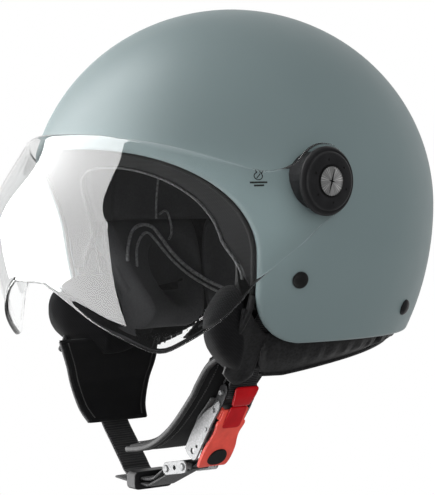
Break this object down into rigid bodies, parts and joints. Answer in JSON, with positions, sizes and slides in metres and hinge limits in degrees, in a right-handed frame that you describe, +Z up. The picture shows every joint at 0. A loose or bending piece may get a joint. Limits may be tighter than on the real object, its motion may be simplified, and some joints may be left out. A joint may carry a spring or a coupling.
{
  "type": "open face motorcycle helmet",
  "caption": "Open face riding helmet with a clear bubble visor on side pivots, padded lining and a chin strap closed by a ratchet buckle.",
  "frame": {"origin": "centre of the head space inside the shell", "axes": "+Z up through the crown, -Y the way the wearer faces, +X the wearer's left"},
  "size_m": [0.2538, 0.286, 0.3022],
  "materials": {
    "shell_paint": "satin grey-green paint over a moulded shell",
    "liner_foam": "dark expanded foam, matt",
    "ribbed_fabric": "ribbed mesh fabric",
    "pad_fabric": "soft charcoal knit",
    "leatherette": "smooth black leatherette",
    "visor_clear": "clear polycarbonate",
    "black_plastic": "satin black",
    "black_rubber": "matt",
    "steel": "brushed",
    "silver_disc": "sunray turned",
    "webbing": "ribbed woven webbing",
    "red_plastic": "salmon red, satin",
    "deep_red_plastic": "deep red, glossy"
  },
  "bodies": {
    "helmet": {"outer_shell": "shell_paint", "foam_liner": "liner_foam", "rim_seal": "black_rubber", "face_band": "ribbed_fabric", "crown_pad": "pad_fabric", "headband": "ribbed_fabric", "cheek_pad_left": "pad_fabric", "cheek_pad_right": "pad_fabric", "neck_roll": "pad_fabric", "cheek_skirt_left": "leatherette", "cheek_skirt_right": "leatherette", "neck_skirt": "leatherette", "webbing_left": "webbing", "webbing_anchor_right": "webbing", "strap_pad_left": "pad_fabric", "strap_pad_root_right": "pad_fabric", "buckle_channel": "steel", "buckle_cover": "deep_red_plastic", "webbing_bar_left": "steel", "lever_pin": "steel", "lever_spring": "steel", "catch_pin": "steel", "pivot_base_left": "black_plastic", "pivot_screw_left": "steel", "pivot_washer_left": "steel", "strap_rivet_left": "black_rubber", "strap_anchor_left": "steel", "rear_rivet_left": "black_rubber", "pivot_base_right": "black_plastic", "pivot_screw_right": "steel", "pivot_washer_right": "steel", "strap_rivet_right": "black_rubber", "strap_anchor_right": "steel", "rear_rivet_right": "black_rubber"},
    "visor": {"visor_shield": "visor_clear", "detent_ring_left": "black_plastic", "detent_ring_right": "black_plastic"},
    "cap_left": {"pivot_cap_left": "black_plastic", "cap_disc_left": "silver_disc"},
    "cap_right": {"pivot_cap_right": "black_plastic", "cap_disc_right": "silver_disc"},
    "lever": {"buckle_lever": "red_plastic", "lever_grip": "black_rubber"},
    "catch": {"buckle_catch": "steel"},
    "strap_right": {"webbing_right": "webbing", "strap_pad_right": "pad_fabric", "ratchet_tongue": "black_plastic", "lug_plate_front": "steel", "lug_plate_rear": "steel", "tongue_pin": "steel", "webbing_bar_right": "steel"},
    "slider": {"strap_slider": "black_plastic"}
  },
  "joints": [
    {"name": "visor_tilt", "type": "hinge", "parent": "helmet", "child": "visor", "pos_m": [0, -0.0288, 0.016], "axis": [-1, 0, 0], "range_deg": [0, 58]},
    {"name": "cap_left_turn", "type": "hinge", "parent": "helmet", "child": "cap_left", "pos_m": [0.118, -0.0288, 0.016], "axis": [1, 0, 0], "range_deg": [0, 90]},
    {"name": "cap_right_turn", "type": "hinge", "parent": "helmet", "child": "cap_right", "pos_m": [-0.118, -0.0288, 0.016], "axis": [-1, 0, 0], "range_deg": [0, 90]},
    {"name": "lever_open", "type": "hinge", "parent": "helmet", "child": "lever", "pos_m": [0.04941, -0.042, -0.12128], "axis": [0, -1, 0], "range_deg": [0, 50], "stiffness_Nm_per_rad": 0.05, "springref_deg": -17.19},
    {"name": "catch_lift", "type": "hinge", "parent": "helmet", "child": "catch", "pos_m": [0.04224, -0.042, -0.13333], "axis": [0, -1, 0], "range_deg": [0, 20]},
    {"name": "strap_release", "type": "hinge", "parent": "helmet", "child": "strap_right", "pos_m": [-0.072, -0.042, -0.102], "axis": [0, 1, 0], "range_deg": [0, 35]},
    {"name": "slider_slide", "type": "slide", "parent": "strap_right", "child": "slider", "axis": [1, 0, 0], "range_m": [-0.003, 0.006]}
  ],
  "couplings": [
    {"joint": "catch_lift", "follows": "lever_open", "ratio": 0.4}
  ]
}
